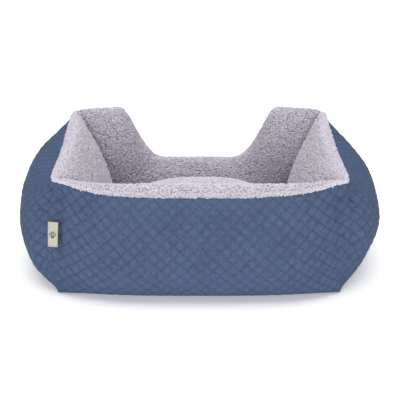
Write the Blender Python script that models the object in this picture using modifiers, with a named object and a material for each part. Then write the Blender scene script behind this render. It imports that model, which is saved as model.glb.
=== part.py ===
"""A rectangular pet bed: four stuffed walls round a zipped cushion that lifts out.

Each wall is a roll of stuffing between a quilted outer panel and a pile lining, which meet at a rim seam.
The rear wall dips in a wide scoop. The bed stands on the floor at Z = 0, centred on the Z axis, front at -Y.
"""

import math

import bmesh
import bpy
from mathutils import Vector

# The bed's outline, in metres
BED_WIDTH = 0.700  # over the bellies of the side walls
BED_DEPTH = 0.520  # over the bellies of the front and rear walls
WALL_HEIGHT = 0.231  # to the crest of the lining at the corners
BELLY_HEIGHT = 0.088  # where the walls are widest
SIDE_LEAN = 0.073  # from a side wall's belly in to its rim seam
END_LEAN = 0.050  # the same on the front and rear walls
SIDE_FOOT = 0.082  # from a side wall's belly in to the edge of its base
END_FOOT = 0.052
SIDE_WALL = 0.165  # a side wall's thickness, from its belly to the edge of the bed's floor
END_WALL = 0.112
CORNER_BELLY = -0.004  # how far the corner seams stand out past the corners of the rim
PLUMPNESS = 4.2  # how full a wall stays towards its corners
PUFF = 0.022  # how far the foot of a lining leans in over the bed's floor
SHOULDER = 0.5  # how far up a lining leans in most, from the floor to the rim

# The rim and the scoop in the rear wall
SEAM_BELOW_CREST = 0.018
CORNER_SEAM_BELOW_CREST = 0.007
CREST_REACH = 0.020  # from the rim seam in to the crest
CREST_PULL = 4  # how strongly the crest draws a lining up on its way to the rim seam
FRONT_SAG = 0.018
SIDE_SAG = 0.006
EAR_RISE = 0.009
SCOOP_DEPTH = 0.118
SCOOP_FLAT = 0.146  # width of its level bottom
SCOOP_MOUTH = 0.330  # width between the two ears

# Cloth, wadding and clearances
QUILT = 0.003
PILE_CLOTH = 0.005
BASE_CLOTH = 0.002
FLOOR_CLOTH = 0.002
PAD = 0.018
LABEL_CLOTH = 0.0008
GAP = 0.0003  # between pieces that touch
FILL_GAP = 0.0008  # between stuffing and the cloth round it
RIM_ROOM = 0.007  # stuffing stops this far short of the rim seam
CORNER_ROOM = 0.008  # and this far short of the corner seams
BEND_ROOM = 0.004  # more room where cloth bends sharply, by the corners and down the scoop's flanks
HEM = 0.0012  # between a flat sheet's edge and the cloth it is sewn to
CUT_EDGE = 2.2  # how far a lining's cut edge stops short where its rim lies level, in cloth thicknesses
PAD_ROUNDING = 0.003
STEP = 0.002  # of u or s, to measure a slope over

# The lift-out cushion
CUSHION_HEIGHT = 0.108
CUSHION_BELOW_SEAM = 0.045
CUSHION_SIDE_GAP = 0.009  # between the cushion and the edge of the bed's floor
CUSHION_END_GAP = 0.011
CUSHION_CORNER = 0.14  # how far its corners are drawn in, as a share of its half size
CORNER_POWER = 8  # how close to the corners that starts
CROWN = (2, 0.8)  # the power and roundness of the top's swell: a soft dome
UNDERSIDE = (8, 0.5)  # the same below, where it is flat to near its edge
CUSHION_CLOTH = 0.003
EDGE_SLACK = 2.2  # the stuffing's gap at the cushion's edge, against its gap elsewhere

# The zip on the cushion's rear seam
ZIP_LENGTH = 0.220
TAPE_WIDTH = 0.009
TAPE = 0.001
COIL_WIDTH = 0.004
COIL = 0.002
STOP_LENGTH = 0.004
SLIDER_LENGTH = 0.014
SLIDER_PLATE = 0.0015
SLIDER_CLEARANCE = 0.0004
SLIDER_FLANGE = 0.0015
STOP_ROUNDING = 0.0003

# The woven label over the front left corner seam
LABEL_WIDTH = 0.023
LABEL_HEIGHT = 0.048
LABEL_CENTRE = 0.61  # as a share of the corner seam, up from its foot
LABEL_LIFT = {"front": 2 * GAP, "left": 4 * GAP}  # the left panel's facets stand out further

ROWS = 7
SIDE_COLUMNS = 10
FRONT_COLUMNS = 12
REAR_COLUMNS = 26
CUSHION_CELLS = 10

BED = "pet_cushion_bed"
OUTWARD = {
    "front": Vector((0, -1, 0)),
    "rear": Vector((0, 1, 0)),
    "left": Vector((-1, 0, 0)),
    "right": Vector((1, 0, 0)),
}
COLUMNS = {"front": FRONT_COLUMNS, "rear": REAR_COLUMNS, "left": SIDE_COLUMNS, "right": SIDE_COLUMNS}
SAG = {"front": FRONT_SAG, "rear": -EAR_RISE, "left": SIDE_SAG, "right": SIDE_SAG}

# Half sizes along X and Y, which every piece below is worked out from
BELLY = Vector((BED_WIDTH / 2, BED_DEPTH / 2))
RIM = BELLY - Vector((SIDE_LEAN, END_LEAN))
FOOT = BELLY - Vector((SIDE_FOOT, END_FOOT))
FLOOR = BELLY - Vector((SIDE_WALL, END_WALL))
PANEL_FOOT_Z = 0.0005
PAD_BOTTOM = BASE_CLOTH + GAP
FLOOR_Z = PAD_BOTTOM + PAD + GAP
CUSHION_BOTTOM = FLOOR_Z + FLOOR_CLOTH + GAP
CUSHION_SEAM_Z = CUSHION_BOTTOM + CUSHION_BELOW_SEAM
CUSHION_HALF = FLOOR - Vector((CUSHION_SIDE_GAP, CUSHION_END_GAP))
CUSHION_SEAM_GAP = CUSHION_CLOTH + 2 * GAP


def bezier(points, t):
    """The point at t of a cubic curve, given its two ends and the two handles between them."""
    s = 1 - t
    weights = (s**3, 3 * s * s * t, 3 * s * t * t, t**3)
    return sum((point * weight for point, weight in zip(points, weights)), points[0] * 0)


def quilt_section(foot, belly, rim, rim_z):
    """Handles that carry a quilted panel level out of the base, round its belly and up to the rim seam."""
    reach = (8 * belly - foot - rim) / 6
    lift = (8 * BELLY_HEIGHT - 4 * PANEL_FOOT_Z - rim_z) / 3
    return [(foot, PANEL_FOOT_Z), (reach, PANEL_FOOT_Z), (reach, lift), (rim, rim_z)]


def lining_section(floor, rim, rim_z, crest):
    """Handles that carry a lining up from the bed's floor, over the crest and down to the rim seam."""
    shoulder = FLOOR_Z + SHOULDER * (rim_z - FLOOR_Z)
    return [(floor, FLOOR_Z), (floor - PUFF, shoulder), (rim - CREST_REACH, rim_z + CREST_PULL * crest), (rim, rim_z)]


def corner_curve(skin):
    """A corner seam's four points in X, Y and Z, for the corner at +X and +Y."""
    rim_z = WALL_HEIGHT - CORNER_SEAM_BELOW_CREST
    sections = []
    for axis in (0, 1):
        if skin == "outer":
            sections.append(quilt_section(FOOT[axis], RIM[axis] + CORNER_BELLY, RIM[axis], rim_z))
        else:
            sections.append(lining_section(FLOOR[axis], RIM[axis], rim_z, CORNER_SEAM_BELOW_CREST))
    return [Vector((a[0], b[0], a[1])) for a, b in zip(*sections)]


def middle_curve(wall, skin):
    """A wall's section half-way along, as points of distance outward and height."""
    axis = 1 if wall in ("front", "rear") else 0
    rim_z = WALL_HEIGHT - SEAM_BELOW_CREST - SAG[wall]
    if skin == "outer":
        section = quilt_section(FOOT[axis], BELLY[axis], RIM[axis], rim_z)
    else:
        section = lining_section(FLOOR[axis], RIM[axis], rim_z, SEAM_BELOW_CREST)
    return [Vector(point) for point in section]


def scoop(x):
    """How deep the rear wall dips at x: all of it over the level bottom, none from the ears out."""
    t = (abs(x) - SCOOP_FLAT / 2) / ((SCOOP_MOUTH - SCOOP_FLAT) / 2)
    t = min(1.0, max(0.0, t))
    return SCOOP_DEPTH * (1 - t * t * (3 - 2 * t))


def wall_point(wall, skin, u, s):
    """A point of a wall's skin: u runs from corner to corner, -1 to 1, and s from its foot to the rim seam."""
    outward = OUTWARD[wall]
    along = Vector((0, 0, 1)).cross(outward)
    corner = bezier(corner_curve(skin), s)
    middle = bezier(middle_curve(wall, skin), s)
    across, lengthwise = (corner.y, corner.x) if outward.y else (corner.x, corner.y)
    fullness = 1 - abs(u) ** PLUMPNESS
    reach = across + (middle[0] - across) * fullness
    height = corner.z + (middle[1] - corner.z) * fullness
    if wall == "rear":
        share = max(0.0, (height - FLOOR_Z) / (WALL_HEIGHT - FLOOR_Z))
        height -= scoop(u * lengthwise) * share
    return outward * reach + along * (u * lengthwise) + Vector((0, 0, height))


def wall_normal(wall, skin, u, s):
    """The direction out of the stuffing at a point of a skin."""
    across = wall_point(wall, skin, u + STEP, s) - wall_point(wall, skin, u - STEP, s)
    up = wall_point(wall, skin, u, s + STEP) - wall_point(wall, skin, u, s - STEP)
    normal = across.cross(up).normalized()
    return normal if skin == "outer" else -normal


def end_limit(wall, margin):
    """The largest u that keeps a piece this far from the corner seams."""
    axis = 0 if wall in ("front", "rear") else 1
    return 1 - margin / FLOOR[axis]


def clamp(value, limit):
    return max(-limit, min(limit, value))


def cloth_point(wall, skin, u, s):
    """A point on the flat facets of a skin as it is built, which run straight from column to column."""
    cells = COLUMNS[wall]
    limit = end_limit(wall, (QUILT if skin == "outer" else PILE_CLOTH) + GAP)
    low = min(cells - 1, max(0, math.floor((u + 1) / 2 * cells)))
    near, far = (clamp(2 * column / cells - 1, limit) for column in (low, low + 1))
    share = (u - near) / (far - near)
    return wall_point(wall, skin, near, s).lerp(wall_point(wall, skin, far, s), share)


def material(name, colour, roughness, metallic=0.0):
    made = bpy.data.materials.new(name)
    made.use_nodes = True
    shader = made.node_tree.nodes["Principled BSDF"]
    shader.inputs["Base Color"].default_value = (*colour, 1.0)
    shader.inputs["Roughness"].default_value = roughness
    shader.inputs["Metallic"].default_value = metallic
    return made


def finish(name, bm, surface, smooth=True):
    """Turns a built mesh into a named object of the bed's collection."""
    mesh = bpy.data.meshes.new(name)
    bm.to_mesh(mesh)
    bm.free()
    mesh.materials.append(surface)
    if smooth:
        mesh.shade_smooth()
    made = bpy.data.objects.new(name, mesh)
    bpy.data.collections[BED].objects.link(made)
    return made


def split_quads(bm):
    """Cuts each bent quad the same way, from its lowest u and s to its highest, so that layers nest."""
    for face in list(bm.faces):
        if len(face.verts) == 4:
            ranked = sorted(face.verts, key=lambda v: tuple(round(c, 6) for c in v.co))
            bmesh.utils.face_split(face, ranked[0], ranked[-1])


def solidify(piece, thickness, outwards=False):
    shell = piece.modifiers.new("Cloth", "SOLIDIFY")
    shell.thickness = thickness
    shell.offset = 1.0 if outwards else -1.0
    shell.use_even_offset = True
    shell.use_quality_normals = True


def subdivided_block(columns, rows, depth=1):
    """A cube cut into cells along X, Y and Z, to be bent to shape."""
    bm = bmesh.new()
    bmesh.ops.create_cube(bm, size=2)
    for axis, cells in ((0, columns), (1, depth), (2, rows)):
        edges = [e for e in bm.edges if abs(e.verts[0].co[axis] - e.verts[1].co[axis]) > 1e-6]
        if cells > 1:
            bmesh.ops.subdivide_edges(bm, edges=edges, cuts=cells - 1)
    return bm


def box(name, low, high, surface, bevel=0.0):
    """A plain block between two corners, with its edges rounded if asked."""
    bm = bmesh.new()
    bmesh.ops.create_cube(bm, size=1)
    size = Vector(high) - Vector(low)
    centre = (Vector(high) + Vector(low)) / 2
    for vert in bm.verts:
        vert.co = Vector(c * s for c, s in zip(vert.co, size)) + centre
    made = finish(name, bm, surface, smooth=False)
    if bevel:
        rounding = made.modifiers.new("Rounding", "BEVEL")
        rounding.width = bevel
        rounding.segments = 2
    return made


def rim_trim(wall, u):
    """The share of a lining's length left off at the rim seam, so that its cloth's edge clears the quilt."""
    slope = (wall_point(wall, "lining", u, 1) - wall_point(wall, "lining", u, 1 - STEP)).length / STEP
    return (CUT_EDGE * PILE_CLOTH * abs(wall_normal(wall, "lining", u, 1).z) + 2 * GAP) / slope


def wall_skin(wall, skin, thickness, surface):
    """A quilted panel or a lining: an open sheet over the stuffing, given its cloth's thickness inwards."""
    bm = bmesh.new()
    bmesh.ops.create_grid(bm, x_segments=COLUMNS[wall], y_segments=ROWS, size=1)
    split_quads(bm)
    limit = end_limit(wall, thickness + GAP)
    for vert in bm.verts:
        u = clamp(vert.co.x, limit)
        trim = 0.0 if skin == "outer" else rim_trim(wall, u)
        vert.co = wall_point(wall, skin, u, min((vert.co.y + 1) / 2, 1 - trim))
    if skin == "lining":
        bmesh.ops.reverse_faces(bm, faces=bm.faces)
    suffix = "outer_panel" if skin == "outer" else "lining"
    solidify(finish(f"{wall}_{suffix}", bm, surface), thickness)


def fill_point(wall, skin, u, s, thickness):
    """A point of the stuffing, under its skin and drawn back from the rim seam."""
    past_scoop_floor = wall == "rear" and abs(u * RIM.x) > SCOOP_FLAT / 2
    bend = 1 if past_scoop_floor else u**4
    inset = thickness + FILL_GAP + RIM_ROOM * s**4 + BEND_ROOM * bend * (1 - s**4)
    return cloth_point(wall, skin, u, s) - wall_normal(wall, skin, u, s) * inset


def wall_fill(wall, surface):
    """The stuffing of one wall: a block bent to fill the room between its two skins."""
    bm = subdivided_block(COLUMNS[wall], ROWS + 1)
    split_quads(bm)
    limit = end_limit(wall, PILE_CLOTH + CORNER_ROOM)
    for vert in bm.verts:
        u = clamp(vert.co.x, limit)
        row = round((vert.co.z + 1) / 2 * (ROWS + 1))
        outer = vert.co.y < 0
        skin, thickness = ("outer", QUILT) if outer else ("lining", PILE_CLOTH)
        vert.co = fill_point(wall, skin, u, max(0, row - 1) / ROWS, thickness)
        if row <= 1 and outer:
            vert.co -= OUTWARD[wall] * (QUILT + FILL_GAP)
        if row == 0:
            vert.co.z = PAD_BOTTOM
    finish(f"{wall}_fill", bm, surface)


def base(cloth, wadding, lining):
    """The bed's underside cloth, its thin pad and the lining of its floor."""
    foot = FOOT - Vector((QUILT + HEM, QUILT + HEM))
    box("base_panel", (-foot.x, -foot.y, 0), (foot.x, foot.y, BASE_CLOTH), cloth)
    pad = FLOOR + Vector((PILE_CLOTH, PILE_CLOTH)) - Vector((GAP, GAP))
    box("base_pad", (-pad.x, -pad.y, PAD_BOTTOM), (pad.x, pad.y, PAD_BOTTOM + PAD), wadding, bevel=PAD_ROUNDING)
    sheet = FLOOR - Vector((HEM, HEM))
    top = FLOOR_Z + FLOOR_CLOTH
    box("floor_lining", (-sheet.x, -sheet.y, FLOOR_Z), (sheet.x, sheet.y, top), lining)


def by_corner(wall, end, s, distance):
    """A point just off a quilted panel, this far along from the corner seam at its end."""
    row = s * ROWS
    low = math.floor(row)
    u = end * end_limit(wall, distance)
    foot, head = (cloth_point(wall, "outer", u, edge / ROWS) for edge in (low, low + 1))
    return foot.lerp(head, row - low) + wall_normal(wall, "outer", u, s) * LABEL_LIFT[wall]


def label(surface):
    """The woven label, folded over the front left corner seam and sewn down on both panels."""
    seam = corner_curve("outer")
    slope = (bezier(seam, LABEL_CENTRE + STEP) - bezier(seam, LABEL_CENTRE)).length / STEP
    reach = LABEL_HEIGHT / 2 / slope
    bm = bmesh.new()
    bmesh.ops.create_grid(bm, x_segments=2, y_segments=4, size=1)
    for vert in bm.verts:
        side, s = vert.co.x, LABEL_CENTRE + vert.co.y * reach
        distance = abs(side) * LABEL_WIDTH / 2
        spots = [by_corner("front", -1, s, distance), by_corner("left", 1, s, distance)]
        if abs(side) < 0.5:
            vert.co = (spots[0] + spots[1]) / 2
        else:
            vert.co = spots[0] if side > 0 else spots[1]
    solidify(finish("corner_label", bm, surface, smooth=False), LABEL_CLOTH, outwards=True)


def cushion_point(a, b, upper, inset=0.0):
    """A point of the cushion's surface: a and b run from -1 to 1 over its outline."""
    power, roundness = CROWN if upper else UNDERSIDE
    height = CUSHION_HEIGHT - CUSHION_BELOW_SEAM if upper else CUSHION_BELOW_SEAM
    drawn = 1 - CUSHION_CORNER * abs(a * b) ** CORNER_POWER
    rise = ((1 - abs(a) ** power) * (1 - abs(b) ** power)) ** roundness
    seam = CUSHION_SEAM_GAP / 2
    level = max(seam, seam + (height - seam) * rise - inset)
    half = CUSHION_HALF - Vector((inset, inset)) * EDGE_SLACK
    return Vector((half.x * a * drawn, half.y * b * drawn, CUSHION_SEAM_Z + (level if upper else -level)))


def crowded(value):
    """Moves evenly spaced cells towards the cushion's edges, where it curves most."""
    return value * (1.5 - 0.5 * value * value)


def cushion_cover(name, upper, surface):
    """One half of the cushion's cover, from the crown or the underside to the seam round its edge."""
    bm = bmesh.new()
    bmesh.ops.create_grid(bm, x_segments=CUSHION_CELLS, y_segments=CUSHION_CELLS, size=1)
    for vert in bm.verts:
        vert.co = cushion_point(crowded(vert.co.x), crowded(vert.co.y), upper)
    if not upper:
        bmesh.ops.reverse_faces(bm, faces=bm.faces)
    solidify(finish(name, bm, surface), CUSHION_CLOTH)


def cushion_fill(surface):
    """The cushion's stuffing."""
    bm = subdivided_block(CUSHION_CELLS, rows=1, depth=CUSHION_CELLS)
    inset = CUSHION_CLOTH + FILL_GAP
    for vert in bm.verts:
        vert.co = cushion_point(crowded(vert.co.x), crowded(vert.co.y), vert.co.z > 0, inset)
    finish("cushion_fill", bm, surface)


def zip_parts(tape_cloth, coil_plastic, metal):
    """The zip: two woven tapes, the closed coil on them, a stop at each end and the slider with no pull."""
    half = ZIP_LENGTH / 2
    tape_y = CUSHION_HALF.y + GAP
    coil_y = tape_y + TAPE + GAP
    for name, sign in (("zip_tape_upper", 1), ("zip_tape_lower", -1)):
        ends = sorted((sign * GAP, sign * TAPE_WIDTH))
        low = (-half, tape_y, CUSHION_SEAM_Z + ends[0])
        high = (half, tape_y + TAPE, CUSHION_SEAM_Z + ends[1])
        box(name, low, high, tape_cloth)
    run = half - STOP_LENGTH - GAP
    wide = COIL_WIDTH / 2
    box("zip_coil", (-run, coil_y, CUSHION_SEAM_Z - wide), (run, coil_y + COIL, CUSHION_SEAM_Z + wide), coil_plastic)
    for name, sign in (("zip_stop_left", -1), ("zip_stop_right", 1)):
        ends = sorted((sign * half, sign * (half - STOP_LENGTH)))
        low = (ends[0], coil_y, CUSHION_SEAM_Z - wide)
        high = (ends[1], coil_y + COIL, CUSHION_SEAM_Z + wide)
        box(name, low, high, metal, bevel=STOP_ROUNDING)
    zip_slider(run, coil_y, wide, metal)


def zip_slider(run, coil_y, wide, metal):
    """The slider at the closed end: a channel over the coil, with its origin at its own middle."""
    channel = wide + SLIDER_CLEARANCE
    outside = channel + SLIDER_FLANGE
    back = coil_y + COIL + SLIDER_CLEARANCE
    section = [
        (coil_y, -outside),
        (back + SLIDER_PLATE, -outside),
        (back + SLIDER_PLATE, outside),
        (coil_y, outside),
        (coil_y, channel),
        (back, channel),
        (back, -channel),
        (coil_y, -channel),
    ]
    bm = bmesh.new()
    verts = [bm.verts.new((-SLIDER_LENGTH / 2, y - coil_y, z)) for y, z in section]
    face = bm.faces.new(verts)
    moved = bmesh.ops.extrude_face_region(bm, geom=[face])["geom"]
    for vert in moved:
        if isinstance(vert, bmesh.types.BMVert):
            vert.co.x += SLIDER_LENGTH
    bmesh.ops.recalc_face_normals(bm, faces=bm.faces)
    slider = finish("zip_slider", bm, metal, smooth=False)
    slider.location = (run - SLIDER_LENGTH / 2, coil_y, CUSHION_SEAM_Z)


def clear_scene():
    for old in list(bpy.data.objects):
        bpy.data.objects.remove(old)
    bpy.context.scene.collection.children.link(bpy.data.collections.new(BED))


def build():
    clear_scene()
    quilt = material("quilted_blue_cloth", (0.085, 0.125, 0.225), 0.85)
    pile = material("grey_pile_cloth", (0.56, 0.53, 0.60), 0.95)
    stuffing = material("white_stuffing", (0.85, 0.85, 0.84), 0.95)
    non_slip = material("dark_base_cloth", (0.05, 0.05, 0.06), 0.9)
    woven = material("ivory_label_cloth", (0.75, 0.70, 0.58), 0.8)
    tape = material("grey_zip_tape", (0.45, 0.43, 0.48), 0.85)
    plastic = material("grey_zip_coil", (0.50, 0.48, 0.53), 0.5)
    metal = material("nickel_zip_metal", (0.62, 0.61, 0.59), 0.35, 1.0)
    base(non_slip, stuffing, pile)
    for wall in OUTWARD:
        wall_skin(wall, "outer", QUILT, quilt)
        wall_skin(wall, "lining", PILE_CLOTH, pile)
        wall_fill(wall, stuffing)
    label(woven)
    cushion_cover("cushion_top_cover", True, pile)
    cushion_cover("cushion_bottom_cover", False, pile)
    cushion_fill(stuffing)
    zip_parts(tape, plastic, metal)


build()
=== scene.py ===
import math

import bpy
import numpy as np
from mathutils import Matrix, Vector


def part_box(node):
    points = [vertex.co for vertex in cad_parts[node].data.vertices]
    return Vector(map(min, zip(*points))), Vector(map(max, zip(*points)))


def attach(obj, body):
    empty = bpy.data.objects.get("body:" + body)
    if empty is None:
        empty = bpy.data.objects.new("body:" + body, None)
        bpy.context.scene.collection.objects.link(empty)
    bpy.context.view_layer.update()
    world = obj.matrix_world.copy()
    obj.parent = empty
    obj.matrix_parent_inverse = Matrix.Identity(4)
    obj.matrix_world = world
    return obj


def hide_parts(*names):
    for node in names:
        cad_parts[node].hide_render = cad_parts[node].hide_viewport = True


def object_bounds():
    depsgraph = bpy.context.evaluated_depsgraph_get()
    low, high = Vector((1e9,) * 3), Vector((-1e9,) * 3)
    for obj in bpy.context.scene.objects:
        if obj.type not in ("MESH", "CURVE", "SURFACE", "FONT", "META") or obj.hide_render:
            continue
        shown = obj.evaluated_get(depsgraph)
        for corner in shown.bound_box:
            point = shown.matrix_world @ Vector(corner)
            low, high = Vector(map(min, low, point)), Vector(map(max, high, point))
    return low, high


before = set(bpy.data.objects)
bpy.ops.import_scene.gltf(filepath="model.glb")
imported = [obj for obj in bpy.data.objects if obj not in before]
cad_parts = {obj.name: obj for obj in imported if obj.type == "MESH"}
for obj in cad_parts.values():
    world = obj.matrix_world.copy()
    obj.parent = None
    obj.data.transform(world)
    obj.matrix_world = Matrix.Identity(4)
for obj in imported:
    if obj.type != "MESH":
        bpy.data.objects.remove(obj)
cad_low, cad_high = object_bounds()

# UNDERSIDE
# A dark non-slip cloth, sewn flat under the bed round a thin pad of wadding. Small rubber dots are
# printed on it in staggered rows, so that the bed doesn't slide on a hard floor.


class Wire:
    """A socket in a node tree. Sums written on it become Math nodes, and node() makes any other node."""

    def __init__(self, tree, socket=None):
        self.tree = tree
        self.socket = socket

    def node(self, kind, settings, sockets, output=0):
        made = self.tree.nodes.new(kind)
        for name, value in settings.items():
            if name == "stops":
                ramp = made.color_ramp.elements
                while len(ramp) < len(value):
                    ramp.new(0.5)
                for stop, (place, colour) in zip(ramp, value):
                    stop.position = place
                    stop.color = (*colour, 1.0)
            else:
                setattr(made, name, value)
        for name, value in sockets.items():
            if isinstance(value, Wire):
                self.tree.links.new(value.socket, made.inputs[name])
            else:
                made.inputs[name].default_value = value
        return Wire(self.tree, made.outputs[output])

    def maths(self, operation, *others):
        return self.node("ShaderNodeMath", {"operation": operation}, dict(enumerate((self, *others))))

    def maths_after(self, first, operation):
        return self.node("ShaderNodeMath", {"operation": operation}, {0: first, 1: self})

    def __add__(self, other):
        return self.maths("ADD", other)

    def __radd__(self, other):
        return self.maths_after(other, "ADD")

    def __sub__(self, other):
        return self.maths("SUBTRACT", other)

    def __rsub__(self, other):
        return self.maths_after(other, "SUBTRACT")

    def __mul__(self, other):
        return self.maths("MULTIPLY", other)

    def __rmul__(self, other):
        return self.maths_after(other, "MULTIPLY")

    def __truediv__(self, other):
        return self.maths("DIVIDE", other)

    def __rtruediv__(self, other):
        return self.maths_after(other, "DIVIDE")

    def __pow__(self, other):
        return self.maths("POWER", other)

    def __abs__(self):
        return self.maths("ABSOLUTE")

    def sine(self):
        return self.maths("SINE")

    def faded(self, length):
        """1 at nothing, dying away over this length."""
        return (self / -length).maths("EXPONENT")

    def between(self, low, high):
        """0 below low, 1 above high and a smooth rise from one to the other."""
        return self.node(
            "ShaderNodeMapRange",
            {"interpolation_type": "SMOOTHSTEP"},
            {0: self, 1: low, 2: high, 3: 0.0, 4: 1.0},
        )

    def mixed(self, first, second):
        """A colour this share of the way from the first to the second."""
        ends = {6: first, 7: second}
        ends = {k: v if isinstance(v, Wire) else (*v, 1.0) for k, v in ends.items()}
        return self.node("ShaderNodeMix", {"data_type": "RGBA"}, {0: self, **ends}, output=2)

    def ramped(self, *stops):
        """The colour at this share of a row of stops, each a share and its colour."""
        return self.node("ShaderNodeValToRGB", {"stops": stops}, {"Fac": self})

    def noise(self, scale, detail=2.0, roughness=0.5, seed=None):
        """Cloudiness from 0 to 1 at this place, in another pattern for each seed."""
        sockets = {"Vector": self, "Scale": scale, "Detail": detail, "Roughness": roughness}
        if seed is None:
            return self.node("ShaderNodeTexNoise", {}, sockets)
        return self.node("ShaderNodeTexNoise", {"noise_dimensions": "4D"}, {**sockets, "W": seed})

    def split(self):
        """The X, Y and Z of a place."""
        axes = self.node("ShaderNodeSeparateXYZ", {}, {0: self}).socket.node.outputs
        return [Wire(self.tree, axis) for axis in axes]


def new_material(name, roughness, **sockets):
    """A material, its shader, and the place on the piece that its patterns are worked out from."""
    made = bpy.data.materials.new(name)
    made.use_nodes = True
    shader = made.node_tree.nodes["Principled BSDF"]
    shader.inputs["Roughness"].default_value = roughness
    for socket, value in sockets.items():
        shader.inputs[socket.replace("_", " ")].default_value = value
    return made, shader, Wire(made.node_tree).node("ShaderNodeTexCoord", {}, {}, output=3)


def connect(wire, shader, socket):
    wire.tree.links.new(wire.socket, shader.inputs[socket])


def raise_bumps(shader, height, distance, strength=1.0):
    """Lets a height, from 0 to 1, stand this far out of the surface."""
    sockets = {"Height": height, "Distance": distance, "Strength": strength}
    connect(height.node("ShaderNodeBump", {}, sockets), shader, "Normal")


def new_tree(name, **sizes):
    """A Geometry Nodes tree with a mesh coming in, a mesh going out and named sizes, and its wires."""
    tree = bpy.data.node_groups.new(name, "GeometryNodeTree")
    tree.interface.new_socket("Geometry", in_out="INPUT", socket_type="NodeSocketGeometry")
    tree.interface.new_socket("Geometry", in_out="OUTPUT", socket_type="NodeSocketGeometry")
    for label, value in sizes.items():
        kind = "NodeSocketInt" if isinstance(value, int) else "NodeSocketFloat"
        socket = tree.interface.new_socket(label.replace("_", " "), in_out="INPUT", socket_type=kind)
        socket.default_value = value
    start = tree.nodes.new("NodeGroupInput")
    wires = {socket.name: Wire(tree, socket) for socket in start.outputs if socket.name}
    return tree, wires


def close_tree(geometry, material):
    """Ends a tree in real geometry with its material set."""
    real = geometry.node("GeometryNodeRealizeInstances", {}, {0: geometry})
    painted = real.node("GeometryNodeSetMaterial", {}, {"Geometry": real, "Material": material})
    end = geometry.tree.nodes.new("NodeGroupOutput")
    geometry.tree.links.new(painted.socket, end.inputs[0])


def plain_mesh(name, points, faces=(), edges=()):
    mesh = bpy.data.meshes.new(name)
    mesh.from_pydata(np.asarray(points).reshape(-1, 3).tolist(), edges, np.asarray(faces).tolist())
    return mesh


def set_down(name, mesh):
    piece = bpy.data.objects.new(name, mesh)
    bpy.context.scene.collection.objects.link(piece)
    return piece


def worked_out(piece):
    """The plain mesh that a piece's modifiers make, with the piece itself cleared away."""
    graph = bpy.context.evaluated_depsgraph_get()
    made = bpy.data.meshes.new_from_object(piece.evaluated_get(graph))
    bpy.data.objects.remove(piece)
    return made


def joined(name, points, faces, material=None):
    """A piece from points and faces worked out by a section's own formula."""
    mesh = plain_mesh(name, points, faces)
    if material:
        mesh.materials.append(material)
    return set_down(name, mesh)


def grown(name, mesh, tree, **sizes):
    """The plain piece that a tree makes of a mesh, with these sizes instead of its own."""
    seed = set_down(name + "_seed", mesh)
    modifier = seed.modifiers.new("Growth", "NODES")
    modifier.node_group = tree
    for item in tree.interface.items_tree:
        if item.in_out == "INPUT" and item.name.replace(" ", "_") in sizes:
            modifier[item.identifier] = sizes[item.name.replace(" ", "_")]
    made = worked_out(seed)
    made.name = name
    made.shade_smooth()
    return set_down(name, made)


def grid_faces(rows, columns):
    """The quads of a grid of points, numbered row by row."""
    first = (np.arange(rows - 1)[:, None] * columns + np.arange(columns - 1)).ravel()
    return np.stack([first, first + 1, first + columns + 1, first + columns], axis=1)


def rubber():
    made, shader, place = new_material("rubber_dots", 0.55)
    connect(place.noise(90.0).mixed((0.035, 0.036, 0.042), (0.07, 0.07, 0.08)), shader, "Base Color")
    return made


def non_slip_cloth():
    made, shader, place = new_material("non_slip_cloth", 0.9, Sheen_Weight=0.15)
    across, along, _ = place.split()
    threads = (across * 4200).sine() * (along * 4200).sine()
    worn = place.noise(14.0, 4.0)
    shade = (0.5 + 0.25 * threads) * (0.75 + 0.5 * worn)
    connect(shade.mixed((0.018, 0.019, 0.023), (0.06, 0.062, 0.072)), shader, "Base Color")
    raise_bumps(shader, 0.5 + 0.5 * threads, 0.0004, 0.6)
    return made


def dotted(material):
    """A flattened dot on each of a mesh's points."""
    tree, wires = new_tree("rubber dots", Dot_radius=0.0021, Dot_height=0.0006)
    start = wires["Geometry"]
    radius = wires["Dot radius"]
    ball = start.node("GeometryNodeMeshIcoSphere", {}, {"Radius": 1.0, "Subdivisions": 2})
    size = start.node("ShaderNodeCombineXYZ", {}, {0: radius, 1: radius, 2: wires["Dot height"]})
    dots_there = {"Points": start, "Instance": ball, "Scale": size}
    close_tree(start.node("GeometryNodeInstanceOnPoints", {}, dots_there), material)
    return tree


base_low, base_high = (Vector(corner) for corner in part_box("base_panel"))
pad_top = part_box("base_pad")[1][2]
UNDERSIDE_POINTS = 60  # along each side of the cloth's grid
HEM_WIDTH = 0.012
HEM_RISE = 0.0007
PAD_INSET = 0.075  # from the cloth's edge to where the pad begins to lift it
PAD_SLOPE = 0.02
CORNER_CUT = (0.002, 0.007)  # how far the base's corners are drawn in along X and Y
DOT_PITCH = 0.011
DOT_SINK = 0.0001  # how deep a dot is pressed into the cloth


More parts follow.
